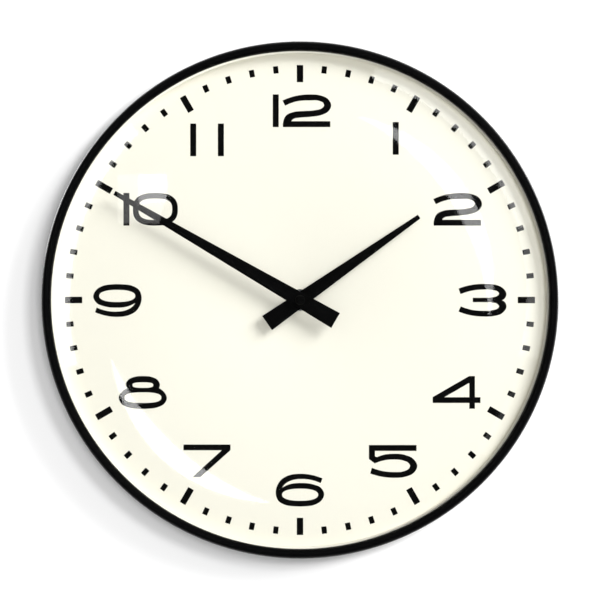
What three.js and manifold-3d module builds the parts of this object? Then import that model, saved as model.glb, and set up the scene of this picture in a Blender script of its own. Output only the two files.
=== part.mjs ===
// A large round wall clock: a pressed steel case hung on one screw, a domed lens, a printed dial and two
// hands on a battery quartz movement whose gear train is modelled tooth by tooth.
//
// Millimetres. +Z is up and the clock faces -Y. The origin is where the wall screw sits in the keyhole, on
// the wall plane. Every depth below is a distance in front of the wall, so a depth d is at y = -d.
import * as THREE from "three";
import { mergeVertices } from "three/addons/utils/BufferGeometryUtils.js";
import Module from "manifold-3d";

const wasm = await Module();
wasm.setup();

// ---- driving dimensions ------------------------------------------------------------------------------
const GAP = 0.3; // between pieces that touch
const HOOK_HEIGHT = 150; // wall screw above the centre of the dial

const CASE = { outerR: 207.2, sheet: 1.2, backCornerR: 8, wallRingR: 184, recessR: 178, recess: 3 };
const OPENING = { r: 55, lip: 5 }; // round opening in the back, to reach the movement
const FLANGE = { innerR: 197, front: 37.2 }; // rolled front edge of the case, which carries the dial
const BEZEL = { outerR: 210, innerR: 202.2, skirtR: 208.8, skirtBack: 26, lipBack: 50.2 };
const SCREW = { shankR: 1.2, headR: 2.4, depth: 31, tipR: 203.5, angles: [30, 150, 270] };
const STACK_R = 206.5; // outer radius of dial, spacer ring and lens
const DIAL = { back: FLANGE.front + GAP, thick: 1, holeR: 4.4 };
const SPACER = { innerR: 200.9, front: 45.7 };
const LENS = { back: SPACER.front + GAP, thick: 2, rise: 18 };
const GASKET = { innerR: 202.9, thick: 1 };

const HANGER = { width: 40, low: 132, high: 160, cornerR: 4, thick: 1.5, rivetX: 14, rivetZ: 146 };
const KEYHOLE = { entryR: 5, entryZ: 142, slotR: 2.5, clearR: 8 };
const RIVET = { shankR: 1.6, headR: 3, headThick: 0.7 };

const DIAL_FRONT = DIAL.back + DIAL.thick;
const BUSHING = { r: 4, boreR: 2.95, flangeR: 6.2, front: 43 };
const WASHER = { r: 8.85, thick: 0.8 };
const NUT = { acrossFlats: 12, thick: 2.5 };
const HAND_THICK = 0.8;
const HOUR_HAND = { reach: 118, tail: 32.6, tipWidth: 3.7, tailWidth: 14.1, back: 44.4, angle: 55 };
const MINUTE_HAND = { reach: 173.3, tail: 33.1, tipWidth: 3.65, tailWidth: 14, back: 47.5, angle: 300 };
const HOUR_TUBE = { r: 2.6, boreR: 1.95, front: 46 };
const MINUTE_TUBE = { r: 1.6, boreR: 0.85, front: 49.5 };
const CAP = { r: 4.05, front: 51.6 };

// Movement: a moulded box behind the dial, with a gear chamber above and a battery bay below.
const BOX = { half: 28, wall: 1.5, cornerR: 3, back: 19.9, front: DIAL.back - 1.6 };
const INSIDE = { half: BOX.half - BOX.wall, back: BOX.back + BOX.wall, front: BOX.front - BOX.wall };
const PARTITION = { low: -11.6, high: -10.4, halfWidth: 25.2 };
const BATTERY = { r: 7.1, nubR: 2.7, left: -24.7, right: 25.4, nub: 1.3, z: -19.05, depth: 27 };
const PIVOT = { r: 0.5, holeR: 0.8, sink: 0.8 };
const KNOB = { r: 5.5, back: 16.6, thick: 3, flutes: 18, arborR: 1 };

// Layers of the train, each the back and front of one row of teeth.
const LAYER = {
  hour: [32.9, 34.1],
  minute: [31.1, 32.3],
  centre: [29.3, 30.5],
  plate: [27.7, 28.7],
  third: [25.9, 27.1],
  seconds: [24.2, 25.4],
  intermediate: [22.4, 23.6],
};
const MAGNET = { r: 3, boreR: 0.9, back: 24.4, front: 26.6 };
const STATOR = { back: 24.9, thick: 0.7, holeR: 3.4, ringR: 4.7, barHalf: 1.8, legX: 13.9, legHalf: 1.8 };
const COIL = { z: 22.8, depth: 26.7, half: 11, tubeR: 2.3, windingR: 3.2, flangeR: 3.5, flange: 0.6 };
const CORE = { halfHeight: 1.4, padHalf: 2.2, back: 26.2, thick: 1 };
const COIL_SCREW = { r: 0.7, headR: 1.4, headThick: 0.6 };
const PCB = { left: 17, right: 25, low: 5.5, high: 25, back: 24.2, thick: 1, pegX: 19, pegs: [7.4, 23.3] };

// Each pair of wheels: teeth of the wheel, teeth of its pinion, and the distance and direction (degrees
// above +X) from the wheel's axis to the pinion's.
const PAIR = {
  rotor: { wheel: 60, pinion: 8, spacing: 8.16, direction: 80 },
  intermediate: { wheel: 32, pinion: 8, spacing: 8.4, direction: 45 },
  seconds: { wheel: 60, pinion: 8, spacing: 10.8, direction: -45 },
  third: { wheel: 64, pinion: 8, spacing: 10.8, direction: 135 },
  cannon: { wheel: 36, pinion: 12, spacing: 9, direction: 180 },
  hour: { wheel: 40, pinion: 10, spacing: 9, direction: 0 },
  setting: { wheel: 36, pinion: 12, spacing: 9, direction: 0 },
};

const BLACK = { color: 0x0c0c0c, roughness: 0.45, metalness: 0.1 };
const CREAM = { color: 0xfffff1, roughness: 0.6, metalness: 0 };
const WHITE = { color: 0xf0f0e8, roughness: 0.6, metalness: 0 };
const GLASS = { color: 0xffffff, roughness: 0.02, metalness: 0, transparent: true, opacity: 0.15 };
const RUBBER = { color: 0x161616, roughness: 0.9, metalness: 0 };
const STEEL = { color: 0xb4b6b8, roughness: 0.35, metalness: 1 };
const BRASS = { color: 0xc7a458, roughness: 0.3, metalness: 1 };
const MOULDING = { color: 0x1b1b1c, roughness: 0.55, metalness: 0 };
const NYLON = { color: 0xe9e6da, roughness: 0.5, metalness: 0 };
const COPPER = { color: 0xb0592a, roughness: 0.35, metalness: 1 };
const BOARD = { color: 0x1e5b34, roughness: 0.5, metalness: 0 };
const CELL = { color: 0x3a4048, roughness: 0.3, metalness: 0.2 };

const ROUND = 48; // sides of the large round pieces
const SMALL_ROUND = 14; // sides of the small ones

// ---- solids ------------------------------------------------------------------------------------------
function toSolid(geometry) {
  const bare = geometry.clone();
  bare.deleteAttribute("normal");
  bare.deleteAttribute("uv");
  const merged = mergeVertices(bare, 1e-4);
  return new wasm.Manifold(
    new wasm.Mesh({
      numProp: 3,
      vertProperties: new Float32Array(merged.attributes.position.array),
      triVerts: new Uint32Array(merged.index.array),
    }),
  );
}

function toGeometry(solid) {
  const { vertProperties, triVerts } = solid.getMesh();
  const geometry = new THREE.BufferGeometry();
  geometry.setAttribute("position", new THREE.BufferAttribute(new Float32Array(vertProperties), 3));
  geometry.setIndex(new THREE.BufferAttribute(new Uint32Array(triVerts), 1));
  geometry.computeVertexNormals();
  return geometry;
}

const join = (first, ...others) =>
  toGeometry(others.reduce((sum, next) => sum.add(toSolid(next)), toSolid(first)));
const cut = (first, ...others) =>
  toGeometry(others.reduce((sum, next) => sum.subtract(toSolid(next)), toSolid(first)));

// A profile of [radius, depth] corners turned about the Y axis. It starts and ends on the axis, or closes.
function revolve(profile, sides = ROUND) {
  const points = profile.map(([r, depth]) => new THREE.Vector2(r, -depth));
  const twiceArea = points.reduce((sum, p, i) => sum + p.cross(points[(i + 1) % points.length]), 0);
  if (profile[0][0] > 0) points.push(points[0].clone());
  if (twiceArea < 0) points.reverse();
  return new THREE.LatheGeometry(points, sides);
}

const ring = (innerR, outerR, back, front, sides = ROUND) =>
  revolve([[innerR, back], [outerR, back], [outerR, front], [innerR, front]], sides);
const rod = (r, back, front, sides = 12) =>
  new THREE.CylinderGeometry(r, r, front - back, sides).translate(0, -(back + front) / 2, 0);

// A flat outline, seen from the front with y up, between two depths.
function plate(shape, back, front, curveSegments = 6) {
  const depth = front - back;
  const geometry = new THREE.ExtrudeGeometry(shape, { depth, bevelEnabled: false, curveSegments });
  return geometry.rotateX(Math.PI / 2).translate(0, -back, 0);
}

function box(x0, x1, back, front, z0, z1) {
  const made = new THREE.BoxGeometry(x1 - x0, front - back, z1 - z0);
  return made.translate((x0 + x1) / 2, -(back + front) / 2, (z0 + z1) / 2);
}

function polygon(corners) {
  return new THREE.Shape(corners.map(([x, z]) => new THREE.Vector2(x, z)));
}

function roundedRectangle(x0, x1, z0, z1, r) {
  const shape = new THREE.Shape();
  shape.moveTo(x0 + r, z0);
  shape.lineTo(x1 - r, z0);
  shape.absarc(x1 - r, z0 + r, r, -Math.PI / 2, 0, false);
  shape.lineTo(x1, z1 - r);
  shape.absarc(x1 - r, z1 - r, r, 0, Math.PI / 2, false);
  shape.lineTo(x0 + r, z1);
  shape.absarc(x0 + r, z1 - r, r, Math.PI / 2, Math.PI, false);
  shape.lineTo(x0, z0 + r);
  shape.absarc(x0 + r, z0 + r, r, Math.PI, 1.5 * Math.PI, false);
  return shape;
}

function circle(x, z, r) {
  return new THREE.Shape().absarc(x, z, r, 0, 2 * Math.PI, false);
}

// A slot with round ends, upright, from one end's centre to the other's.
function slot(x, low, high, r) {
  const shape = new THREE.Shape();
  shape.absarc(x, high, r, 0, Math.PI, false);
  shape.absarc(x, low, r, Math.PI, 2 * Math.PI, false);
  return shape;
}

function arc(centreR, centreDepth, r, fromDegrees, toDegrees, steps) {
  return Array.from({ length: steps + 1 }, (_, i) => {
    const angle = THREE.MathUtils.degToRad(fromDegrees + ((toDegrees - fromDegrees) * i) / steps);
    return [centreR + r * Math.cos(angle), centreDepth + r * Math.sin(angle)];
  });
}

const at = (geometry, [x, z]) => geometry.translate(x, 0, z);
const plus = ([x, z], [dx, dz]) => [x + dx, z + dz];
const polar = (r, degrees) => [
  r * Math.cos(THREE.MathUtils.degToRad(degrees)),
  r * Math.sin(THREE.MathUtils.degToRad(degrees)),
];

function place(name, geometry, material, x = 0, z = 0) {
  const mesh = new THREE.Mesh(geometry, new THREE.MeshStandardMaterial(material));
  mesh.name = name;
  mesh.position.set(x, 0, z);
  return mesh;
}

function group(...meshes) {
  const made = new THREE.Group();
  made.add(...meshes);
  return made;
}

// ---- case --------------------------------------------------------------------------------------------
function rivetHoles(back, front) {
  const { rivetX, rivetZ } = HANGER;
  return [-rivetX, rivetX].map((x) => at(rod(RIVET.shankR + GAP, back, front), [x, rivetZ]));
}

function caseBody() {
  const { outerR, sheet, backCornerR, wallRingR, recessR, recess } = CASE;
  const cornerR = outerR - backCornerR;
  const lipDepth = recess + OPENING.lip;
  const outside = [
    [OPENING.r, lipDepth],
    [OPENING.r, recess + sheet],
    [OPENING.r + sheet, recess],
    [recessR, recess],
    [wallRingR, 0],
    ...arc(cornerR, backCornerR, backCornerR, -90, 0, 2),
    [outerR, FLANGE.front],
    [FLANGE.innerR, FLANGE.front],
  ];
  const inside = [
    [FLANGE.innerR, FLANGE.front - sheet],
    [outerR - sheet, FLANGE.front - sheet],
    ...arc(cornerR, backCornerR, backCornerR - sheet, 0, -90, 2),
    [wallRingR + sheet / 2, sheet],
    [recessR + sheet / 2, recess + sheet],
    [OPENING.r + sheet, recess + sheet],
    [OPENING.r + sheet, lipDepth],
  ];
  const past = recess + sheet + 5;
  return cut(
    revolve([...outside, ...inside]),
    plate(slot(0, KEYHOLE.entryZ, HOOK_HEIGHT, KEYHOLE.clearR), -5, past),
    ...rivetHoles(-5, past),
    ...SCREW.angles.map((angle) => aimed(screwHole(), angle)),
  );
}

function bezelRing() {
  const { outerR, innerR, skirtR, skirtBack, lipBack } = BEZEL;
  const crownR = (outerR - innerR) / 2;
  const skirtInnerR = skirtR - CASE.sheet;
  const profile = [
    [skirtInnerR, skirtBack],
    [skirtR, skirtBack],
    [skirtR, lipBack - 2.5],
    ...arc(innerR + crownR, lipBack + 0.8, crownR, 0, 180, 4),
    [innerR, lipBack],
    [skirtInnerR, lipBack],
  ];
  return cut(revolve(profile), ...SCREW.angles.map((angle) => aimed(screwHole(), angle)));
}

// Radial pieces are made along the Y axis, their depth being a radius, then aimed at an angle above +X.
function aimed(geometry, degrees) {
  const angle = THREE.MathUtils.degToRad(degrees);
  const outwards = new THREE.Vector3(Math.cos(angle), 0, Math.sin(angle));
  const turn = new THREE.Quaternion().setFromUnitVectors(new THREE.Vector3(0, -1, 0), outwards);
  return geometry.applyQuaternion(turn).translate(0, -SCREW.depth, 0);
}

const screwHole = () => rod(SCREW.shankR + GAP, SCREW.tipR - 5, BEZEL.outerR + 5);

function bezelScrew() {
  const under = BEZEL.skirtR + GAP;
  return revolve(
    [
      [0, SCREW.tipR],
      [SCREW.shankR, SCREW.tipR + 1],
      [SCREW.shankR, under],
      [SCREW.headR, under],
      [SCREW.headR, BEZEL.outerR - 0.4],
      [SCREW.headR - 0.7, BEZEL.outerR],
      [0, BEZEL.outerR],
    ],
    12,
  );
}

function lensDome() {
  const { back, thick, rise } = LENS;
  const sphereR = (STACK_R ** 2 + rise ** 2) / (2 * rise);
  const rings = 4;
  const curve = Array.from({ length: rings + 1 }, (_, i) => {
    const r = (STACK_R * i) / rings;
    return [r, back + Math.sqrt(sphereR ** 2 - r ** 2) - (sphereR - rise)];
  });
  const front = curve.map(([r, depth]) => [r, depth + thick]).reverse();
  return revolve([...curve, ...front]);
}

function hangerPlate() {
  const half = HANGER.width / 2;
  const shape = roundedRectangle(-half, half, HANGER.low, HANGER.high, HANGER.cornerR);
  const back = CASE.recess - GAP - HANGER.thick;
  const front = CASE.recess - GAP;
  return cut(
    plate(shape, back, front, 3),
    plate(slot(0, KEYHOLE.entryZ, HOOK_HEIGHT, KEYHOLE.slotR), back - 1, front + 1),
    plate(circle(0, KEYHOLE.entryZ, KEYHOLE.entryR), back - 1, front + 1, 12),
    ...rivetHoles(back - 1, front + 1),
  );
}

function hangerRivet() {
  const headFront = CASE.recess - GAP - HANGER.thick - GAP;
  const tailBack = CASE.recess + CASE.sheet + GAP;
  const profile = [
    [0, headFront - RIVET.headThick],
    [RIVET.headR - 1, headFront - RIVET.headThick],
    [RIVET.headR, headFront - 0.2],
    [RIVET.headR, headFront],
    [RIVET.shankR, headFront],
    [RIVET.shankR, tailBack],
    [RIVET.headR, tailBack],
    [RIVET.headR, tailBack + RIVET.headThick],
    [0, tailBack + RIVET.headThick],
  ];
  return revolve(profile, 16);
}

const gasketFront = BEZEL.lipBack - GAP;
const clockCase = group(
  place("case_body", caseBody(), BLACK),
  place("hanger_plate", hangerPlate(), STEEL),
  place("hanger_rivet_left", hangerRivet(), STEEL, -HANGER.rivetX, HANGER.rivetZ),
  place("hanger_rivet_right", hangerRivet(), STEEL, HANGER.rivetX, HANGER.rivetZ),
  place("bezel_ring", bezelRing(), BLACK),
  ...SCREW.angles.map((angle, i) => place(`bezel_screw_${i + 1}`, aimed(bezelScrew(), angle), BLACK)),
  place("lens_gasket", ring(GASKET.innerR, STACK_R, gasketFront - GASKET.thick, gasketFront), RUBBER),
  place("lens", lensDome(), GLASS),
  place("spacer_ring", ring(SPACER.innerR, STACK_R, DIAL_FRONT + GAP, SPACER.front), WHITE),
  place("dial_plate", ring(DIAL.holeR, STACK_R, DIAL.back, DIAL_FRONT), CREAM),
);

// ---- hands and what holds the movement on the dial ---------------------------------------------------
const BORE_R = BUSHING.r + GAP;

function bushing() {
  const flangeBack = BOX.front + GAP;
  return revolve(
    [
      [BUSHING.boreR, INSIDE.front],
      [BUSHING.r, INSIDE.front],
      [BUSHING.r, flangeBack],
      [BUSHING.flangeR, flangeBack],
      [BUSHING.flangeR, flangeBack + 0.8],
      [BUSHING.r, flangeBack + 0.8],
      [BUSHING.r, BUSHING.front],
      [BUSHING.boreR, BUSHING.front],
    ],
    SMALL_ROUND,
  );
}

function hexNut() {
  const cornerR = NUT.acrossFlats / Math.sqrt(3);
  const corners = [0, 60, 120, 180, 240, 300].map((degrees) => polar(cornerR, degrees));
  const back = DIAL_FRONT + GAP + WASHER.thick + GAP;
  return cut(plate(polygon(corners), back, back + NUT.thick), rod(BORE_R, back - 1, back + NUT.thick + 1));
}

// A tapered blade pointing at 12, with a hole for its collet, turned clockwise to its hour.
function hand({ reach, tail, tipWidth, tailWidth, back, angle }, holeR) {
  const blade = polygon([
    [-tailWidth / 2, -tail],
    [tailWidth / 2, -tail],
    [tipWidth / 2, reach],
    [-tipWidth / 2, reach],
  ]);
  const made = cut(plate(blade, back, back + HAND_THICK), rod(holeR, back - 1, back + HAND_THICK + 1));
  return made.rotateY(THREE.MathUtils.degToRad(angle));
}

function collet({ sleeveR, flangeR, back, flangeFront, front }, boreR) {
  return revolve(
    [
      [boreR, back],
      [flangeR, back],
      [flangeR, flangeFront],
      [sleeveR, flangeFront],
      [sleeveR, front],
      [boreR, front],
    ],
    SMALL_ROUND,
  );
}

function capNut() {
  const boreR = MINUTE_TUBE.r + GAP;
  const blind = MINUTE_TUBE.front + 0.7;
  const back = MINUTE_HAND.back + HAND_THICK + 0.8;
  const profile = [
    [0, blind],
    [boreR, blind],
    [boreR, back],
    [CAP.r, back],
    [CAP.r, CAP.front - 1.2],
    [CAP.r - 0.5, CAP.front - 0.5],
    [CAP.r - 1.6, CAP.front],
    [0, CAP.front],
  ];
  return revolve(profile, SMALL_ROUND);
}

const HOUR_COLLET = { sleeveR: 4, flangeR: 7, back: 43.3, flangeFront: 44.1, front: 45.7 };
const MINUTE_COLLET = { sleeveR: 3.2, flangeR: 5.5, back: 46.4, flangeFront: 47.2, front: 48.7 };

const rubberWasher = ring(BUSHING.flangeR + GAP, 14, BOX.front + GAP, DIAL.back - GAP, SMALL_ROUND);
const dialFixings = group(
  place("rubber_washer", rubberWasher, RUBBER),
  place("centre_bushing", bushing(), BRASS),
  place("dial_washer", ring(BORE_R, WASHER.r, DIAL_FRONT + GAP, DIAL_FRONT + GAP + WASHER.thick, 24), STEEL),
  place("hex_nut", hexNut(), BRASS),
);

const hands = group(
  place("hour_hand", hand(HOUR_HAND, HOUR_COLLET.sleeveR + GAP), BLACK),
  place("hour_collet", collet(HOUR_COLLET, HOUR_TUBE.r + GAP), BRASS),
  place("minute_hand", hand(MINUTE_HAND, MINUTE_COLLET.sleeveR + GAP), BLACK),
  place("minute_collet", collet(MINUTE_COLLET, MINUTE_TUBE.r + GAP), BRASS),
  place("cap_nut", capNut(), BLACK),
);

// ---- gear train --------------------------------------------------------------------------------------
const AXIS = { centre: [0, 0] };
AXIS.third = polar(PAIR.third.spacing, PAIR.third.direction);
AXIS.intermediate = polar(PAIR.intermediate.spacing, PAIR.intermediate.direction);
AXIS.rotor = plus(AXIS.intermediate, polar(PAIR.rotor.spacing, PAIR.rotor.direction));
AXIS.minute = polar(PAIR.hour.spacing, PAIR.hour.direction);
AXIS.setting = plus(AXIS.minute, polar(PAIR.setting.spacing, PAIR.setting.direction));

// Straight-sided teeth with a wide gap between them. The first tooth is centred on the phase.
function toothed(teeth, module, phase, [back, front]) {
  const pitch = (2 * Math.PI) / teeth;
  const rootR = module * (teeth / 2 - 1.2);
  const tipR = module * (teeth / 2 + 0.85);
  const corners = [];
  for (let i = 0; i < teeth; i += 1) {
    const middle = phase + i * pitch;
    for (const [r, share] of [[rootR, -0.24], [tipR, -0.11], [tipR, 0.11], [rootR, 0.24]]) {
      corners.push([r * Math.cos(middle + share * pitch), r * Math.sin(middle + share * pitch)]);
    }
  }
  return plate(polygon(corners), back, front);
}

const moduleOf = ({ wheel, pinion, spacing }) => (2 * spacing) / (wheel + pinion);
const wheelOf = (pair, layer) => toothed(pair.wheel, moduleOf(pair), 0, layer);

// The pinion has a gap where a wheel whose first tooth lies on +X has a tooth.
function pinionOf(pair, layer) {
  const direction = THREE.MathUtils.degToRad(pair.direction);
  const phase = direction + Math.PI + Math.PI / pair.pinion + (direction * pair.wheel) / pair.pinion;
  return toothed(pair.pinion, moduleOf(pair), phase, layer);
}

const BACK_PIVOT = INSIDE.back - PIVOT.sink;
const PLATE_PIVOT = LAYER.plate[0] + PIVOT.sink;

const hourWheel = cut(
  join(wheelOf(PAIR.hour, LAYER.hour), rod(HOUR_TUBE.r, LAYER.hour[0], HOUR_TUBE.front)),
  rod(HOUR_TUBE.boreR, LAYER.hour[0] - 1, HOUR_TUBE.front + 1),
);
const cannonPinion = cut(
  join(pinionOf(PAIR.cannon, LAYER.minute), rod(MINUTE_TUBE.r, LAYER.plate[0] + GAP, MINUTE_TUBE.front)),
  rod(MINUTE_TUBE.boreR, LAYER.plate[0] - 1, MINUTE_TUBE.front + 1),
);
const centreWheel = cut(
  wheelOf(PAIR.third, LAYER.centre),
  rod(MINUTE_TUBE.r + GAP, LAYER.centre[0] - 1, LAYER.centre[1] + 1),
);
const minuteWheel = cut(
  join(
    wheelOf(PAIR.cannon, LAYER.minute),
    pinionOf(PAIR.hour, LAYER.hour),
    rod(1.3, LAYER.minute[0], LAYER.hour[1]),
  ),
  rod(0.9, LAYER.minute[0] - 1, LAYER.hour[1] + 1),
);
const thirdWheel = join(
  wheelOf(PAIR.seconds, LAYER.third),
  pinionOf(PAIR.third, LAYER.centre),
  rod(0.85, LAYER.third[0], LAYER.centre[1]),
  rod(PIVOT.r, BACK_PIVOT, LAYER.centre[1] + 1.5),
);
const secondsWheel = join(
  wheelOf(PAIR.intermediate, LAYER.seconds),
  pinionOf(PAIR.seconds, LAYER.third),
  rod(0.8, LAYER.seconds[0], LAYER.third[1]),
  rod(PIVOT.r, BACK_PIVOT, LAYER.plate[1] + 0.8),
);
const intermediateWheel = join(
  wheelOf(PAIR.rotor, LAYER.intermediate),
  pinionOf(PAIR.intermediate, LAYER.seconds),
  rod(1.1, LAYER.intermediate[0], LAYER.seconds[1]),
  rod(PIVOT.r, BACK_PIVOT, PLATE_PIVOT),
);
const rotor = join(
  pinionOf(PAIR.rotor, LAYER.intermediate),
  rod(0.6, LAYER.intermediate[0], LAYER.third[1]),
  rod(PIVOT.r - 0.1, BACK_PIVOT, PLATE_PIVOT),
);
const settingArbor = join(
  pinionOf(PAIR.setting, LAYER.minute),
  rod(KNOB.arborR, KNOB.back + 0.8, LAYER.hour[1]),
);
const settingKnob = cut(
  toothed(KNOB.flutes, (2 * KNOB.r) / (KNOB.flutes + 1.7), 0, [KNOB.back, KNOB.back + KNOB.thick]),
  rod(KNOB.arborR + GAP, KNOB.back + 0.5, KNOB.back + KNOB.thick + 1),
);

const train = group(
  place("hour_wheel", hourWheel, NYLON),
  place("cannon_pinion", cannonPinion, BRASS),
  place("centre_wheel", centreWheel, NYLON),
  place("minute_wheel", minuteWheel, NYLON, ...AXIS.minute),
  place("third_wheel", thirdWheel, NYLON, ...AXIS.third),
  place("seconds_wheel", secondsWheel, NYLON),
  place("intermediate_wheel", intermediateWheel, NYLON, ...AXIS.intermediate),
  place("rotor", rotor, NYLON, ...AXIS.rotor),
  place("rotor_magnet", ring(MAGNET.boreR, MAGNET.r, MAGNET.back, MAGNET.front, 24), STEEL, ...AXIS.rotor),
  place("setting_arbor", settingArbor, NYLON, ...AXIS.setting),
  place("setting_knob", settingKnob, MOULDING, ...AXIS.setting),
);

// ---- movement ----------------------------------------------------------------------------------------
function boxOutline(half) {
  return roundedRectangle(-half, half, -half, half, BOX.cornerR);
}

const POSTS = [[-22.5, -7], [22.5, -7], [-20, 12], [21, 16]];

function frontHousing() {
  const bossBack = LAYER.centre[1] + 0.7;
  const { low, high, halfWidth } = PARTITION;
  const sunk = INSIDE.front + 0.5;
  const shell = cut(
    plate(boxOutline(BOX.half), BOX.back + BOX.wall + GAP, BOX.front, 3),
    box(-INSIDE.half, INSIDE.half, BOX.back, INSIDE.front, -INSIDE.half, INSIDE.half),
  );
  const fitted = join(
    shell,
    box(-halfWidth, halfWidth, INSIDE.back + GAP, sunk, low, high),
    at(rod(1.6, bossBack, sunk), AXIS.third),
    at(rod(PIVOT.r + 0.1, LAYER.minute[0], sunk), AXIS.minute),
    ...POSTS.map((post) => at(rod(1.5, LAYER.plate[1] + GAP, sunk), post)),
  );
  return cut(
    fitted,
    rod(BORE_R, INSIDE.front - 1, BOX.front + 1),
    at(rod(PIVOT.holeR, bossBack - 1, LAYER.centre[1] + 1.8), AXIS.third),
  );
}

function rearCover() {
  const bay = box(-26, 26, BOX.back - 1, INSIDE.back + 1, -INSIDE.half, PARTITION.low - GAP);
  const pivots = [AXIS.centre, AXIS.third, AXIS.intermediate, AXIS.rotor];
  return cut(
    plate(boxOutline(BOX.half), BOX.back, INSIDE.back, 3),
    bay,
    at(rod(KNOB.arborR + GAP, BOX.back - 1, INSIDE.back + 1), AXIS.setting),
    ...pivots.map((axis) => at(rod(PIVOT.holeR, BACK_PIVOT - GAP, INSIDE.back + 1), axis)),
  );
}

function middlePlate() {
  const [back, front] = LAYER.plate;
  const { pegX, pegs, back: boardBack, thick } = PCB;
  const shoulder = boardBack + thick + GAP;
  const blank = join(
    plate(roundedRectangle(-25.2, 25.2, PARTITION.high + GAP, 26.1, 2), back, front, 3),
    ...pegs.map((z) => at(rod(1.4, shoulder, back + 0.5), [pegX, z])),
    ...pegs.map((z) => at(rod(0.7, boardBack - 0.6, back + 0.5), [pegX, z])),
  );
  const hole = (r, axis) => at(rod(r, back - 1, front + 1), axis);
  return cut(
    blank,
    box(-COIL.half - 0.6, COIL.half + 0.6, back - 1, front + 1, COIL.z - COIL.flangeR - 0.4, 30),
    hole(MINUTE_TUBE.r + GAP, AXIS.centre),
    hole(1.8, AXIS.third),
    hole(PIVOT.holeR, AXIS.intermediate),
    hole(PIVOT.holeR, AXIS.rotor),
    hole(KNOB.arborR + GAP, AXIS.setting),
    ...[-1, 1].map((side) => hole(COIL_SCREW.r + GAP, [side * STATOR.legX, COIL.z])),
  );
}

function stator() {
  const { back, thick, holeR, ringR, barHalf, legX, legHalf } = STATOR;
  const front = back + thick;
  const [rotorX, rotorZ] = AXIS.rotor;
  const foot = rotorZ - barHalf;
  const leg = (x) => box(x - legHalf, x + legHalf, back, front, foot, COIL.z + CORE.padHalf);
  return cut(
    join(
      box(-legX, legX, back, front, foot, rotorZ + barHalf),
      plate(circle(rotorX, rotorZ, ringR), back, front, 12),
      leg(-legX),
      leg(legX),
    ),
    plate(circle(rotorX, rotorZ, holeR), back - 1, front + 1, 12),
    ...[-1, 1].map((side) => at(rod(COIL_SCREW.r + GAP, back - 1, front + 1), [side * legX, COIL.z])),
  );
}

function coilCore() {
  const { halfHeight, back, thick } = CORE;
  const { legX, legHalf } = STATOR;
  const front = back + thick;
  const bar = (x0, x1, half) => box(x0, x1, back, front, COIL.z - half, COIL.z + half);
  const pad = (x) => bar(x - legHalf, x + legHalf, CORE.padHalf);
  return cut(
    join(bar(-legX, legX, halfHeight), pad(-legX), pad(legX)),
    ...[-1, 1].map((side) => at(rod(COIL_SCREW.r + GAP, back - 1, front + 1), [side * legX, COIL.z])),
  );
}

// Pieces turned about the coil's own axis, which lies along X.
const alongCoil = (geometry) => geometry.rotateZ(Math.PI / 2).translate(0, -COIL.depth, COIL.z);

function coilBobbin() {
  const { half, flange, flangeR, tubeR } = COIL;
  const spool = revolve(
    [
      [0, -half],
      [flangeR, -half],
      [flangeR, flange - half],
      [tubeR, flange - half],
      [tubeR, half - flange],
      [flangeR, half - flange],
      [flangeR, half],
      [0, half],
    ],
    SMALL_ROUND,
  );
  const bore = CORE.halfHeight + GAP;
  const front = CORE.back + CORE.thick + GAP;
  const window = box(-half - 1, half + 1, CORE.back - GAP, front, COIL.z - bore, COIL.z + bore);
  return cut(alongCoil(spool), window);
}

function coilWinding() {
  const reach = COIL.half - COIL.flange - GAP;
  return alongCoil(ring(COIL.tubeR + GAP, COIL.windingR, -reach, reach, SMALL_ROUND));
}

function coilScrew() {
  const headFront = STATOR.back - GAP;
  const { r, headR, headThick } = COIL_SCREW;
  const profile = [
    [0, headFront - headThick],
    [headR, headFront - headThick],
    [headR, headFront],
    [r, headFront],
    [r, LAYER.plate[1]],
    [0, LAYER.plate[1]],
  ];
  return revolve(profile, 12);
}

function circuitBoard() {
  const { left, right, low, high, back, thick, pegX, pegs } = PCB;
  return cut(
    box(left, right, back, back + thick, low, high),
    ...pegs.map((z) => at(rod(0.7 + GAP, back - 1, back + thick + 1), [pegX, z])),
  );
}

const ON_BOARD = PCB.back - GAP; // where the parts soldered to the back of the board end
const chip = revolve([[0, ON_BOARD - 1], [1.2, ON_BOARD - 0.8], [2, ON_BOARD], [0, ON_BOARD]], 16);
const crystal = new THREE.CylinderGeometry(1, 1, 6, 14).rotateX(Math.PI / 2).translate(0, 1 - ON_BOARD, 0);

const LEAF = { thick: 0.4, back: 22.6, front: 24, outer: 26.1, bayBack: 21.8, bayFront: 32.5 };

function negativeContact() {
  const { thick, back, front, outer, bayBack, bayFront } = LEAF;
  const top = PARTITION.high + GAP + thick;
  return join(
    box(-outer, thick - outer, bayBack, bayFront, -24, -14),
    box(-outer, thick - outer, back, front, -15, top),
    box(-outer, 23.5, back, front, top - thick, top),
    box(23.5 - thick, 23.5, back, front - 0.2, top - thick, 6.8),
  );
}

function positiveContact() {
  const { thick, back, front, outer, bayBack, bayFront } = LEAF;
  return join(
    box(outer - thick, outer, bayBack, bayFront, -24, -14),
    box(outer - thick, outer, back, front - 0.2, -15, 9),
    box(24, outer, back, front - 0.2, 9 - thick, 9),
  );
}

function battery() {
  const { r, nubR, left, right, nub, z, depth } = BATTERY;
  const profile = [
    [0, left],
    [r - 0.5, left],
    [r, left + 0.5],
    [r, right - nub - 0.5],
    [r - 0.5, right - nub],
    [nubR, right - nub],
    [nubR, right],
    [0, right],
  ];
  return revolve(profile, 20).rotateZ(Math.PI / 2).translate(0, -depth, z);
}

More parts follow.
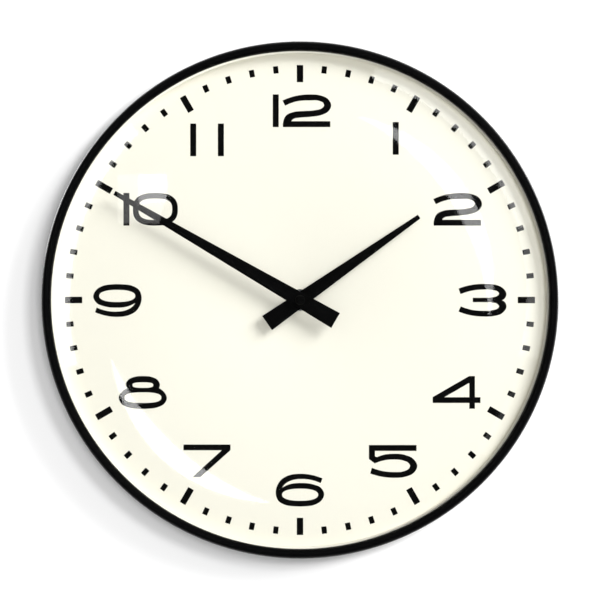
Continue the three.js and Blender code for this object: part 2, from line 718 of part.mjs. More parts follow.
const movement = group(
  place("front_housing", frontHousing(), MOULDING),
  place("rear_cover", rearCover(), MOULDING),
  place("middle_plate", middlePlate(), NYLON),
  place("stator", stator(), STEEL),
  place("coil_core", coilCore(), STEEL),
  place("coil_bobbin", coilBobbin(), NYLON),
  place("coil_winding", coilWinding(), COPPER),
  place("coil_screw_left", coilScrew(), STEEL, -STATOR.legX, COIL.z),
  place("coil_screw_right", coilScrew(), STEEL, STATOR.legX, COIL.z),
  place("circuit_board", circuitBoard(), BOARD),
  place("chip", chip, MOULDING, 20.4, 12),
  place("quartz_crystal", crystal, STEEL, 22.6, 18.6),
  place("negative_contact", negativeContact(), STEEL),
  place("positive_contact", positiveContact(), STEEL),
  place("battery", battery(), CELL),
);

const clock = group(clockCase, dialFixings, hands, movement, train);
clock.position.z = -HOOK_HEIGHT;
const root = new THREE.Group();
root.add(clock);
export default root;
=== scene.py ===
"""A round black wall clock with a domed glass, a cream dial and two hands, hung on a pale wall."""

import math

import bmesh
import bpy
from mathutils import Matrix, Vector

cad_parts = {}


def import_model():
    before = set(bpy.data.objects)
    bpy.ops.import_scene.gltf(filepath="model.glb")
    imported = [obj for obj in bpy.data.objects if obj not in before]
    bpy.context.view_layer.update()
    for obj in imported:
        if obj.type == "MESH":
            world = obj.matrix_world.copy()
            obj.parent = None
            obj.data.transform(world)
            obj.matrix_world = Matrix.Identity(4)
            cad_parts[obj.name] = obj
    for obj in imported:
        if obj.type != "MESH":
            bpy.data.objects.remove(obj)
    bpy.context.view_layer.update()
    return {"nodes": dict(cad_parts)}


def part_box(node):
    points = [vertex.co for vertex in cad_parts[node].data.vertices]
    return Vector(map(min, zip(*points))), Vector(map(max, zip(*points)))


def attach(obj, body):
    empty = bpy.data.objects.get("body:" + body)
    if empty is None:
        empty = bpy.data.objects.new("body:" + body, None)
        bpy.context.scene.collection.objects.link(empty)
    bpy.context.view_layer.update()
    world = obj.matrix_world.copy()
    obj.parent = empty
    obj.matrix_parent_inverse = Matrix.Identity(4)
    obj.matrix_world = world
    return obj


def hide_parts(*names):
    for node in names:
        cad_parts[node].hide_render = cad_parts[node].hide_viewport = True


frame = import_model()

MM = 0.001
ROOT = "clock"
FINE = 256


# ---------------------------------------------------------------- measures taken from the frame, in mm
def depth_range(node):
    """How far a node's back and front are from the wall."""
    low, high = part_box(node)
    return -high.y / MM, -low.y / MM


def outer_radius(node):
    low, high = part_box(node)
    return (high.x - low.x) / 2 / MM


dial_low, dial_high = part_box("dial_plate")
CENTRE = (dial_low + dial_high) / 2
CENTRE_Z = CENTRE.z / MM
DIAL_FRONT = depth_range("dial_plate")[1]
RIM_R = outer_radius("bezel_ring")
STACK_R = outer_radius("dial_plate")

# ---------------------------------------------------------------- rim, print and hands, in mm
BEAD_R = RIM_R + 0.15
RIM_INNER_R = 202.2
SPACER_INNER_R = 200.9
GASKET_INNER_R = 202.9
DIAL_HOLE_R = 4.4
WASHER_HOLE_R = 4.3
SHEET = 1.2  # thickness of the steel sheet
PRINT_BACK = DIAL_FRONT - 0.02
PRINT_FRONT = DIAL_FRONT + 0.06
INK_GAIN = 0.15  # how far the printed ink spreads past its drawn edge
MINUTE_MARK = {"inner": 185.45, "outer": 191.05, "width": 3.9}
HOUR_MARK = {"inner": 177.35, "outer": 191.05, "width": 4.95}
HOUR_HAND = {"reach": 118.3, "tail": 32.7, "tip": 3.7, "end": 14.1, "angle": 55}
MINUTE_HAND = {"reach": 174.2, "tail": 33.4, "tip": 3.65, "end": 14.0, "angle": 300}
HOUR_COLLET = {"bore": 2.9, "sleeve": 4.0, "flange": 7.0, "flange_front": 44.1}
MINUTE_COLLET = {"bore": 1.9, "sleeve": 3.2, "flange": 5.5, "flange_front": 47.2}
HOUR_HOLE_R = 4.3
MINUTE_HOLE_R = 3.5
DIGIT_HEIGHT = 26.3
DIGIT_WIDTH = {
    "0": 36.3, "1": 4.6, "2": 39.3, "3": 38.7, "4": 38.6,
    "5": 39.1, "6": 39.1, "7": 38.0, "8": 38.8, "9": 39.1,
}
# Where the middle of each numeral is from the middle of the dial, and the space between its digits.
NUMERALS = {
    "12": (1.6, 154.0, 3.4),
    "1": (77.9, 131.5, 0),
    "2": (128.3, 73.8, 0),
    "3": (148.5, -0.2, 0),
    "4": (127.4, -75.2, 0),
    "5": (75.75, -131.4, 0),
    "6": (-0.05, -154.6, 0),
    "7": (-75.7, -130.9, 0),
    "8": (-127.9, -75.2, 0),
    "9": (-148.55, -0.55, 0),
    "10": (-121.55, 73.85, 3.1),
    "11": (-75.65, 130.3, 17.9),
}


# ---------------------------------------------------------------- materials
MATERIALS = {}


def new_material(name):
    material = bpy.data.materials.new(name)
    material.use_nodes = True
    MATERIALS[name] = material
    nodes = material.node_tree.nodes
    return nodes, material.node_tree.links, nodes["Principled BSDF"]


def noise(nodes, links, scale, detail=3.0, stretch=(1, 1, 1)):
    """A noise in object coordinates, finer along the axes that are stretched."""
    place = nodes.new("ShaderNodeTexCoord")
    mapping = nodes.new("ShaderNodeMapping")
    mapping.inputs["Scale"].default_value = stretch
    made = nodes.new("ShaderNodeTexNoise")
    made.inputs["Scale"].default_value = scale
    made.inputs["Detail"].default_value = detail
    links.new(place.outputs["Object"], mapping.inputs["Vector"])
    links.new(mapping.outputs["Vector"], made.inputs["Vector"])
    return made.outputs["Fac"]


def span(nodes, links, value, low, high):
    """The middle of a noise's range spread between low and high."""
    made = nodes.new("ShaderNodeMapRange")
    made.inputs["From Min"].default_value = 0.3
    made.inputs["From Max"].default_value = 0.7
    made.inputs["To Min"].default_value = low
    made.inputs["To Max"].default_value = high
    links.new(value, made.inputs["Value"])
    return made.outputs["Result"]


def tint(nodes, links, value, first, second):
    made = nodes.new("ShaderNodeMix")
    made.data_type = "RGBA"
    made.inputs["A"].default_value = (*first, 1)
    made.inputs["B"].default_value = (*second, 1)
    links.new(value, made.inputs["Factor"])
    return made.outputs["Result"]


def bump(nodes, links, shader, height, strength, distance):
    made = nodes.new("ShaderNodeBump")
    made.inputs["Strength"].default_value = strength
    made.inputs["Distance"].default_value = distance
    links.new(height, made.inputs["Height"])
    links.new(made.outputs["Normal"], shader.inputs["Normal"])


def finish_of(
    name, colours, rough, scale, bumps, metallic=0.0, stretch=(1, 1, 1), coat=0.0, specular=0.5
):
    """A surface whose colour and roughness wander between two values, with a fine bump of its own.

    scale is the noise behind the colour. bumps are the scale, strength and height of the fine bump.
    """
    nodes, links, shader = new_material(name)
    broad = noise(nodes, links, scale, 4.0, stretch)
    links.new(tint(nodes, links, broad, *colours), shader.inputs["Base Color"])
    links.new(span(nodes, links, broad, *rough), shader.inputs["Roughness"])
    shader.inputs["Metallic"].default_value = metallic
    shader.inputs["Specular IOR Level"].default_value = specular
    shader.inputs["Coat Weight"].default_value = coat
    shader.inputs["Coat Roughness"].default_value = 0.12
    fine_scale, strength, distance = bumps
    bump(nodes, links, shader, noise(nodes, links, fine_scale, 2.0, stretch), strength, distance)


def glass():
    """Clear glass that lets light straight through. It mirrors 4% head on, and more where it slants."""
    nodes, links, shader = new_material("lens_glass")
    nodes.remove(shader)
    clear = nodes.new("ShaderNodeBsdfTransparent")
    clear.inputs["Color"].default_value = (0.985, 0.99, 0.985, 1)
    gloss = nodes.new("ShaderNodeBsdfGlossy")
    gloss.inputs["Roughness"].default_value = 0.03
    slant = nodes.new("ShaderNodeLayerWeight")
    slant.inputs["Blend"].default_value = 0.5
    steep = nodes.new("ShaderNodeMath")
    steep.operation = "POWER"
    steep.inputs[1].default_value = 5
    share = nodes.new("ShaderNodeMapRange")
    share.inputs["To Min"].default_value = 0.04
    both = nodes.new("ShaderNodeMixShader")
    links.new(slant.outputs["Facing"], steep.inputs[0])
    links.new(steep.outputs["Value"], share.inputs["Value"])
    links.new(share.outputs["Result"], both.inputs["Fac"])
    links.new(clear.outputs["BSDF"], both.inputs[1])
    links.new(gloss.outputs["BSDF"], both.inputs[2])
    links.new(both.outputs["Shader"], nodes["Material Output"].inputs["Surface"])


def wound_copper():
    """Fine enamelled wire wound side by side."""
    nodes, links, shader = new_material("copper_wire")
    place = nodes.new("ShaderNodeTexCoord")
    turns = nodes.new("ShaderNodeTexWave")
    turns.inputs["Scale"].default_value = 1600
    turns.bands_direction = "X"
    links.new(place.outputs["Object"], turns.inputs["Vector"])
    links.new(tint(nodes, links, turns.outputs["Fac"], *COPPER), shader.inputs["Base Color"])
    shader.inputs["Metallic"].default_value = 0.9
    shader.inputs["Roughness"].default_value = 0.3
    bump(nodes, links, shader, turns.outputs["Fac"], 0.6, 0.0001)


def wall_paint():
    """Painted wall seen from the room only: from behind it, nothing shows."""
    nodes, links, shader = new_material("wall_paint")
    shader.inputs["Base Color"].default_value = (0.93, 0.93, 0.93, 1)
    shader.inputs["Roughness"].default_value = 0.9
    shader.inputs["Specular IOR Level"].default_value = 0.0
    bump(nodes, links, shader, noise(nodes, links, 900), 0.04, 0.0002)
    behind = nodes.new("ShaderNodeNewGeometry")
    clear = nodes.new("ShaderNodeBsdfTransparent")
    both = nodes.new("ShaderNodeMixShader")
    links.new(behind.outputs["Backfacing"], both.inputs["Fac"])
    links.new(shader.outputs["BSDF"], both.inputs[1])
    links.new(clear.outputs["BSDF"], both.inputs[2])
    links.new(both.outputs["Shader"], nodes["Material Output"].inputs["Surface"])


def metal(name, colours, rough, scale, bumps, stretch):
    finish_of(name, colours, rough, scale, bumps, metallic=1.0, stretch=stretch)


# The two colours that each surface wanders between.
BLACK = (0.0016, 0.0016, 0.0018), (0.0026, 0.0026, 0.0028)
INK = (0.0018, 0.0018, 0.0018), (0.0028, 0.0028, 0.0028)
HAND_BLACK = (0.0014, 0.0014, 0.0015), (0.0024, 0.0024, 0.0026)
CREAM = (0.88, 0.852, 0.757), (0.87, 0.842, 0.747)
WHITE = (0.9, 0.87, 0.78), (0.87, 0.84, 0.75)
RUBBER = (0.012, 0.012, 0.012), (0.03, 0.03, 0.03)
ZINC = (0.55, 0.56, 0.58), (0.68, 0.69, 0.7)
BRASS = (0.62, 0.44, 0.16), (0.78, 0.6, 0.28)
MOULDING = (0.012, 0.012, 0.013), (0.02, 0.02, 0.021)
NYLON = (0.8, 0.78, 0.7), (0.88, 0.86, 0.79)
MAGNET = (0.05, 0.05, 0.055), (0.09, 0.09, 0.095)
COPPER = (0.2, 0.05, 0.015), (0.62, 0.22, 0.07)
BOARD = (0.01, 0.09, 0.03), (0.02, 0.16, 0.055)
SLEEVE = (0.02, 0.035, 0.06), (0.03, 0.05, 0.08)
BAND = (0.4, 0.42, 0.44), (0.48, 0.5, 0.52)

finish_of("black_enamel", BLACK, (0.3, 0.38), 60, (1400, 0.08, 0.0001), specular=0.17)
finish_of("dial_enamel", CREAM, (0.55, 0.65), 30, (2500, 0.03, 0.00005))
finish_of("print_black", INK, (0.5, 0.6), 400, (5000, 0.1, 0.00003), specular=0.1)
finish_of("hand_enamel", HAND_BLACK, (0.45, 0.55), 200, (4000, 0.08, 0.00003), specular=0.1)
glass()
finish_of("white_ring", WHITE, (0.5, 0.6), 80, (900, 0.05, 0.0001))
finish_of("black_rubber", RUBBER, (0.8, 0.95), 300, (1500, 0.3, 0.0001))
metal("zinc_steel", ZINC, (0.28, 0.45), 500, (2200, 0.12, 0.00005), (1, 1, 6))
metal("brass", BRASS, (0.22, 0.36), 400, (3000, 0.1, 0.00005), (1, 5, 1))
finish_of("black_moulding", MOULDING, (0.42, 0.58), 150, (2600, 0.25, 0.00006))
finish_of("nylon", NYLON, (0.35, 0.5), 200, (1800, 0.1, 0.00005))
finish_of("magnet", MAGNET, (0.4, 0.6), 900, (3000, 0.3, 0.00005), metallic=0.8)
wound_copper()
finish_of("green_board", BOARD, (0.3, 0.42), 700, (1800, 0.2, 0.00005), stretch=(1, 1, 4))
finish_of("cell_sleeve", SLEEVE, (0.2, 0.3), 100, (1500, 0.05, 0.00005), coat=0.6)
finish_of("sleeve_band", BAND, (0.2, 0.3), 100, (1500, 0.05, 0.00005), metallic=0.6, coat=0.6)
wall_paint()


# ---------------------------------------------------------------- shapes
def rounded(points, radius, steps=4, closed=True):
    """The outline with each corner replaced by a small arc."""
    out = []
    count = len(points)
    for i, point in enumerate(points):
        here = Vector(point)
        if not closed and i in (0, count - 1):
            out.append(here)
            continue
        before = Vector(points[i - 1]) - here
        after = Vector(points[(i + 1) % count]) - here
        reach = min(radius, before.length * 0.45, after.length * 0.45)
        start = here + before.normalized() * reach
        end = here + after.normalized() * reach
        for k in range(steps + 1):
            t = k / steps
            out.append(start * (1 - t) ** 2 + here * 2 * t * (1 - t) + end * t**2)
    return [tuple(p) for p in out]


def to_metres(bm):
    """From millimetres round the dial's centre to metres in the frame."""
    for vertex in bm.verts:
        vertex.co = Vector((vertex.co.x * MM, vertex.co.y * MM, (vertex.co.z + CENTRE_Z) * MM))


SHARP = 38


def mark_sharp(bm, degrees=SHARP):
    for face in bm.faces:
        face.smooth = True
    for edge in bm.edges:
        if len(edge.link_faces) == 2 and edge.calc_face_angle(0) > math.radians(degrees):
            edge.smooth = False


def make_piece(name, bm, material, body=ROOT, replaces=(), sharp=SHARP):
    """A mesh in millimetres round the dial's centre becomes a named piece that rides on a body.

    Edges that bend by more than sharp degrees stay crisp.
    """
    bmesh.ops.remove_doubles(bm, verts=bm.verts, dist=1e-4)
    bmesh.ops.recalc_face_normals(bm, faces=bm.faces)
    mark_sharp(bm, sharp)
    to_metres(bm)
    mesh = bpy.data.meshes.new(name)
    bm.to_mesh(mesh)
    bm.free()
    mesh.materials.append(MATERIALS[material])
    piece = bpy.data.objects.new(name, mesh)
    bpy.context.scene.collection.objects.link(piece)
    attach(piece, body)
    if replaces:
        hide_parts(*replaces)
    return piece


def turned(profile, sides=FINE, centre=(0, 0)):
    """A profile of (radius, depth) turned about an axis along Y. It closes, or both ends meet the axis."""
    bm = bmesh.new()
    columns = []
    for radius, depth in profile:
        if radius < 1e-6:
            columns.append([bm.verts.new((centre[0], -depth, centre[1]))] * sides)
            continue
        ring = []
        for k in range(sides):
            angle = 2 * math.pi * k / sides
            x = centre[0] + radius * math.sin(angle)
            z = centre[1] + radius * math.cos(angle)
            ring.append(bm.verts.new((x, -depth, z)))
        columns.append(ring)
    count = len(columns)
    pairs = count if profile[0][0] > 1e-6 else count - 1
    for i in range(pairs):
        first, second = columns[i], columns[(i + 1) % count]
        for k in range(sides):
            corners = [first[k], first[(k + 1) % sides], second[(k + 1) % sides], second[k]]
            unique = list(dict.fromkeys(corners))
            if len(unique) > 2:
                bm.faces.new(unique)
    return bm


def slab(outline, back, front, bevel=0.0, holes=(), bm=None):
    """A flat outline of (x, z) between two depths, with its front and back edges eased."""
    bm = bm or bmesh.new()
    known = set(bm.faces)
    edges = []
    for loop in (outline, *holes):
        verts = [bm.verts.new((x, -back, z)) for x, z in loop]
        edges += [bm.edges.new((verts[i], verts[(i + 1) % len(verts)])) for i in range(len(verts))]
    made = bmesh.ops.triangle_fill(bm, use_beauty=True, use_dissolve=False, edges=edges)
    filled = [g for g in made["geom"] if isinstance(g, bmesh.types.BMFace)]
    corners = list(dict.fromkeys(v for f in filled for v in f.verts))
    sides = list(dict.fromkeys(e for f in filled for e in f.edges))
    bmesh.ops.dissolve_limit(bm, angle_limit=0.01, verts=corners, edges=sides)
    faces = [f for f in bm.faces if f not in known]
    rims = [e for f in faces for e in f.edges if len(e.link_faces) == 1]
    raised = {}
    for vertex in dict.fromkeys(v for f in faces for v in f.verts):
        raised[vertex] = bm.verts.new((vertex.co.x, -front, vertex.co.z))
    for face in faces:
        bm.faces.new([raised[v] for v in face.verts])
    for edge in rims:
        first, second = edge.verts
        bm.faces.new((first, second, raised[second], raised[first]))
    if bevel:
        bmesh.ops.recalc_face_normals(bm, faces=bm.faces)
        flat = [e for e in bm.edges if len(e.link_faces) == 2 and e.calc_face_angle(0) > 1.0]
        bmesh.ops.bevel(bm, geom=flat, offset=bevel, segments=2, affect="EDGES", profile=0.5)
    return bm


def on_arc(centre, radius, degrees):
    angle = math.radians(degrees)
    return (centre[0] + radius * math.cos(angle), centre[1] + radius * math.sin(angle))


def arc(centre, radius, start, end, steps):
    """Points from one angle to another, counted anticlockwise from +X in degrees."""
    return [on_arc(centre, radius, start + (end - start) * i / steps) for i in range(steps + 1)]


def circle(radius, centre=(0, 0), sides=64):
    return [on_arc(centre, radius, 360 * k / sides) for k in range(sides)]


def rectangle(left, right, low, high):
    return [(left, low), (right, low), (right, high), (left, high)]


def slot_outline(x, low, high, radius, steps=20):
    """An upright slot whose round ends have their middles at two heights."""
    return arc((x, high), radius, 0, 180, steps) + arc((x, low), radius, 180, 360, steps)


TINY = 2e-6  # metres


def cut_by(piece, cutter_bm):
    """Takes a cutter, in millimetres round the dial's centre, out of a piece."""
    bmesh.ops.recalc_face_normals(cutter_bm, faces=cutter_bm.faces)
    to_metres(cutter_bm)
    mesh = bpy.data.meshes.new("cutter")
    cutter_bm.to_mesh(mesh)
    cutter_bm.free()
    cutter = bpy.data.objects.new("cutter", mesh)
    bpy.context.scene.collection.objects.link(cutter)
    modifier = piece.modifiers.new("cut", "BOOLEAN")
    modifier.operation = "DIFFERENCE"
    modifier.solver = "EXACT"
    modifier.object = cutter
    bpy.context.view_layer.update()
    evaluated = piece.evaluated_get(bpy.context.evaluated_depsgraph_get())
    result = bpy.data.meshes.new_from_object(evaluated)
    piece.modifiers.clear()
    result.name = piece.name
    piece.data = result
    bpy.data.objects.remove(cutter)
    bm = bmesh.new()
    bm.from_mesh(piece.data)
    bmesh.ops.remove_doubles(bm, verts=bm.verts, dist=TINY)
    bmesh.ops.dissolve_degenerate(bm, edges=bm.edges, dist=TINY)
    mark_sharp(bm)
    bm.to_mesh(piece.data)
    bm.free()


# ---------------------------------------------------------------- case, rim, dial and glass
CASE_FRONT = depth_range("case_body")[1]
CASE_R = outer_radius("case_body")
LENS_BACK, LENS_APEX = depth_range("lens")
LENS_THICK = 2.0
LENS_RISE = LENS_APEX - LENS_BACK - LENS_THICK
LENS_SPHERE = (STACK_R**2 + LENS_RISE**2) / (2 * LENS_RISE)
OPENING_R = 55.0
OPENING_LIP = 5.0
RECESS = 3.0
RECESS_R = 178.0
WALL_RING_R = 184.0
CORNER_R = 8.0
FLANGE_R = 197.0
LIP_DROP = 0.8  # from the middle of the bead back to the lip that holds the glass
SHOULDER = 2.5  # from that lip back to where the skirt starts
KEYHOLE_CLEAR_R = 8.0
HANGER_ENTRY_Z = 142
HANGER_TOP_Z = 150
RIVET_X = 14
RIVET_Z = 146
RIVET_HOLE_R = 1.9


def case_body():
    """The pressed pan: a ring that rests on the wall, a recessed back, a side wall and a flange."""
    inner = CASE_R - SHEET
    corner = (CASE_R - CORNER_R, CORNER_R)
    outside = [
        (OPENING_R, RECESS + OPENING_LIP),
        (OPENING_R, RECESS + SHEET),
        (OPENING_R + SHEET, RECESS),
        (RECESS_R, RECESS),
        (WALL_RING_R, 0),
        *arc(corner, CORNER_R, -90, 0, 8),
        (CASE_R, CASE_FRONT),
        (FLANGE_R, CASE_FRONT),
    ]
    inside = [
        (FLANGE_R, CASE_FRONT - SHEET),
        (inner, CASE_FRONT - SHEET),
        *arc(corner, CORNER_R - SHEET, 0, -90, 8),
        (WALL_RING_R + SHEET / 2, SHEET),
        (RECESS_R + SHEET / 2, RECESS + SHEET),
        (OPENING_R + SHEET, RECESS + SHEET),
        (OPENING_R + SHEET, RECESS + OPENING_LIP),
    ]
    pan = turned(rounded([*outside, *inside], 0.5, 2))
    piece = make_piece("case_body_shell", pan, "black_enamel", replaces=["case_body"])
    behind, beyond = -5, 12
    cut_by(piece, slab(slot_outline(0, HANGER_ENTRY_Z, HANGER_TOP_Z, KEYHOLE_CLEAR_R), behind, beyond))
    hole = [(0, behind), (RIVET_HOLE_R, behind), (RIVET_HOLE_R, beyond), (0, beyond)]
    for side in (-1, 1):
        cut_by(piece, turned(hole, 24, centre=(side * RIVET_X, RIVET_Z)))


def bezel_ring():
    """The rim: a round bead that holds the glass, with a skirt that slides over the case."""
    skirt_back, front = depth_range("bezel_ring")
    crown = (BEAD_R - RIM_INNER_R) / 2
    skirt_r = RIM_R - SHEET
    lip = front - crown - LIP_DROP
    profile = [
        (skirt_r - SHEET, skirt_back),
        (skirt_r, skirt_back),
        (skirt_r, lip - SHOULDER),
        *arc((RIM_INNER_R + crown, front - crown), crown, 0, 180, 24),
        (RIM_INNER_R, lip),
        (skirt_r - SHEET, lip),
    ]
    bead = turned(rounded(profile, 0.3, 2))
    make_piece("bezel_bead", bead, "black_enamel", replaces=["bezel_ring"])


def lens():
    """The domed glass, of one thickness all over."""
    rings = 56
    inner = []
    for i in range(rings + 1):
        radius = STACK_R * i / rings
        depth = LENS_BACK + LENS_RISE - LENS_SPHERE + math.sqrt(LENS_SPHERE**2 - radius**2)
        inner.append((radius, depth))
    outer = [(radius, depth + LENS_THICK) for radius, depth in reversed(inner)]
    make_piece("glass_dome", turned([*inner, *outer]), "lens_glass", replaces=["lens"])


def ring_piece(name, node, inner_r, material, ease, sides=FINE):
    """A plain turned ring that fills its node's box, with eased corners."""
    back, front = depth_range(node)
    outer_r = outer_radius(node)
    profile = [(inner_r, back), (outer_r, back), (outer_r, front), (inner_r, front)]
    make_piece(name, turned(rounded(profile, ease, 3), sides), material, replaces=[node])


# ---------------------------------------------------------------- printing
def superellipse(centre, half_width, half_height, power, steps=72):
    points = []
    for k in range(steps):
        angle = 2 * math.pi * k / steps
        c, s = math.cos(angle), math.sin(angle)
        x = half_width * math.copysign(abs(c) ** (2 / power), c)
        z = half_height * math.copysign(abs(s) ** (2 / power), s)
        points.append((centre[0] + x, centre[1] + z))
    return points


def smooth(points, steps=7):
    """Corners are (x, z, 1). Points (x, z) between them lie on a smooth curve that passes through each."""
    count = len(points)
    out = []
    for i in range(count):
        first, second = points[i], points[(i + 1) % count]
        before = points[i - 1] if len(first) == 2 else None
        after = points[(i + 2) % count] if len(second) == 2 else None
        p1, p2 = Vector(first[:2]), Vector(second[:2])
        if before is None and after is None:
            out.append(tuple(p1))
            continue
        length = (p2 - p1).length
        straight = (p2 - p1).normalized()
        start = tangent(before, p1, p2) if before else None
        end = tangent(p1, p2, after) if after else None
        start = start or (2 * straight - end).normalized()
        end = end or (2 * straight - start).normalized()
        for k in range(steps):
            t = k / steps
            h1, h2 = 2 * t**3 - 3 * t**2 + 1, -2 * t**3 + 3 * t**2
            h3, h4 = t**3 - 2 * t**2 + t, t**3 - t**2
            out.append(tuple(p1 * h1 + p2 * h2 + start * length * h3 + end * length * h4))
    return out


def tangent(before, here, after):
    """The direction at the middle one of three points, led more by the nearer of the other two."""
    a, b, c = Vector(before[:2]), Vector(here[:2]), Vector(after[:2])
    first, second = (b - a), (c - b)
    made = first.normalized() * second.length + second.normalized() * first.length
    return made.normalized()


def spread(loop, by):
    """A closed outline moved outwards by the same amount all along, or inwards if that is negative."""
    points = [Vector(p) for p in loop]
    count = len(points)
    area = 0
    for i, here in enumerate(points):
        after = points[(i + 1) % count]
        area += here.x * after.y - here.y * after.x
    side = math.copysign(1, area)
    out = []
    for i, here in enumerate(points):
        first = (here - points[i - 1]).normalized()
        second = (points[(i + 1) % count] - here).normalized()
        normal = (Vector((first.y, -first.x)) + Vector((second.y, -second.x))) * side
        reach = by / max(0.35, normal.length / 2)
        out.append(tuple(here + normal.normalized() * reach))
    return out


# Each digit's outlines, from the lower left corner of its own box. A third number marks a corner.
TWO = [
    (0.3, 0, 1), (38.1, 0, 1), (38.1, 4.5, 1), (6.6, 4.5, 1), (8.6, 6.6), (13.4, 7.6),
    (22.8, 8.4), (30.9, 9.8), (36.4, 12.6), (38.8, 17.2), (36.6, 22.3), (30.2, 25.5),
    (21.5, 26.3), (11.1, 25.2), (0, 21.4, 1), (2.0, 17.4, 1), (11.1, 20.9), (21.5, 21.7),
    (29.6, 21.2), (32.9, 19.2), (33.3, 17.2), (31.5, 15.1), (26.2, 13.5), (17.4, 12.8),
    (8.4, 11.9), (2.9, 9.3), (0.6, 4.6),
]
THREE = [
    (0, 22.5, 1), (10.8, 25.6), (19.8, 26.3), (28.2, 25.9), (35.2, 23.3), (38.5, 18.3),
    (37.6, 15.3), (34.5, 13.1, 1), (37.7, 11.0), (38.5, 7.9), (35.2, 2.8), (28.2, 0.4),
    (19.8, 0), (10.8, 0.8), (0, 4.0, 1), (1.8, 8.0, 1), (10.8, 5.2), (19.8, 4.4),
    (27.5, 4.9), (31.8, 6.5), (32.8, 8.0), (31.4, 10.2), (27.0, 11.5), (21.5, 11.7),
    (11.5, 11.7, 1), (11.5, 15.1, 1), (21.5, 15.1), (27.0, 15.4), (31.4, 16.7),
    (32.8, 18.6), (31.8, 20.2), (27.5, 21.6), (19.8, 22.0), (10.8, 21.1), (1.6, 18.3, 1),
]
FOUR = [
    (0, 4.7, 1), (0, 9.3, 1), (29.5, 26.3, 1), (34.1, 26.3, 1), (34.1, 9.1, 1),
    (38.6, 9.1, 1), (38.6, 4.7, 1), (34.1, 4.7, 1), (34.1, 0, 1), (29.8, 0, 1),
    (29.8, 4.7, 1),
]
FOUR_HOLE = [(8.9, 9.1, 1), (29.8, 9.1, 1), (29.8, 21.2, 1)]
FIVE = [
    (0, 26.4, 1), (38.2, 26.4, 1), (38.2, 21.9, 1), (4.6, 21.9, 1), (4.6, 17.2, 1),
    (6.6, 16.6, 1), (12.0, 18.5), (19.8, 19.3), (28.5, 18.5), (36.0, 14.8), (38.8, 9.6),
    (36.2, 4.2), (29.0, 0.8), (20.3, 0), (10.8, 0.8), (1.1, 3.4, 1), (2.3, 7.9, 1),
    (10.8, 5.3), (20.3, 4.4), (28.0, 5.1), (32.4, 7.5), (33.2, 9.7), (31.8, 12.1),
    (27.5, 14.1), (20.3, 14.9), (12.6, 14.3), (4.7, 11.7, 1), (0, 15.2, 1),
]
SIX = [
    (37.3, 22.5, 1), (28.5, 25.3), (19.4, 26.2), (10.6, 25.0), (4.2, 21.3), (0.9, 16.0),
    (0, 10.2), (2.0, 4.5), (7.6, 1.1), (15.5, 0), (23.4, 0), (31.2, 1.3), (36.8, 5.0),
    (38.7, 9.8), (36.4, 14.6), (29.6, 17.7), (20.5, 18.7), (11.9, 17.9), (4.7, 14.7, 1),
    (7.2, 18.1), (12.6, 21.1), (19.6, 22.2), (27.7, 21.6), (36.0, 18.9, 1),
]
SIX_WIDTH = 38.7
SEVEN = [
    (0, 26.3, 1), (37.7, 26.3, 1), (37.7, 21.9, 1), (13.4, 0, 1), (7.4, 0, 1),
    (31.1, 21.9, 1), (0, 21.9, 1),
]
EIGHT = [
    (19.3, 26.3), (12.3, 25.6), (7.2, 22.9), (5.7, 19.3), (7.2, 16.5, 1), (2.3, 13.4),
    (0, 8.7), (2.0, 4.1), (7.7, 1.1), (15.4, 0), (23.1, 0), (30.8, 1.1), (36.5, 4.1),
    (38.5, 8.7), (36.6, 13.0), (32.1, 16.5, 1), (32.9, 19.3), (31.4, 22.9), (26.3, 25.6),
]


def digit_loops(digit):
    """(outline, holes) of a digit in its own box."""
    if digit == "0":
        half, half_height = DIGIT_WIDTH["0"] / 2, DIGIT_HEIGHT / 2
        middle = (half, half_height)
        hole = superellipse(middle, half - 4.35, half_height - 4.3, 2.9)
        return superellipse(middle, half, half_height, 2.6), [hole]
    if digit == "1":
        return rectangle(0, DIGIT_WIDTH["1"], 0, DIGIT_HEIGHT), []
    if digit == "6":
        return smooth(SIX), [superellipse((19.5, 9.3), 14.7, 5.1, 2.3)]
    if digit == "8":
        upper = superellipse((19.3, 19.1), 8.5, 2.4, 2.9)
        lower = superellipse((19.3, 8.9), 15.0, 4.5, 2.6)
        return smooth(EIGHT), [upper, lower]
    if digit == "9":
        outline, holes = digit_loops("6")
        turn = [[(SIX_WIDTH - x, DIGIT_HEIGHT - z) for x, z in loop] for loop in (outline, *holes)]
        return turn[0], turn[1:]
    outlines = {"2": TWO, "3": THREE, "4": FOUR, "5": FIVE, "7": SEVEN}
    holes = [smooth(FOUR_HOLE)] if digit == "4" else []
    return smooth(outlines[digit]), holes


def numeral(text, middle_x, middle_z, gap):
    """The digits of one numeral, side by side, as one piece."""
    width = sum(DIGIT_WIDTH[d] for d in text) + gap * (len(text) - 1)
    foot = middle_z - DIGIT_HEIGHT / 2
    bm = bmesh.new()
    x = middle_x - width / 2
    for digit in text:
        outline, holes = digit_loops(digit)
        stretch = DIGIT_WIDTH[digit] / max(px for px, pz in outline)
        inked = [spread(outline, INK_GAIN), *(spread(hole, -INK_GAIN) for hole in holes)]
        placed = [[(x + px * stretch, foot + pz) for px, pz in loop] for loop in inked]
        slab(placed[0], PRINT_BACK, PRINT_FRONT, holes=placed[1:], bm=bm)
        x += DIGIT_WIDTH[digit] + gap
    make_piece(f"numeral_{text}", bm, "print_black")


def box_bar(bm, corners, back, front):
    """A straight-sided bar over four corners."""
    low = [bm.verts.new((x, -back, z)) for x, z in corners]
    high = [bm.verts.new((x, -front, z)) for x, z in corners]
    bm.faces.new(low)
    bm.faces.new(high)
    for i in range(4):
        bm.faces.new([low[i], low[(i + 1) % 4], high[(i + 1) % 4], high[i]])


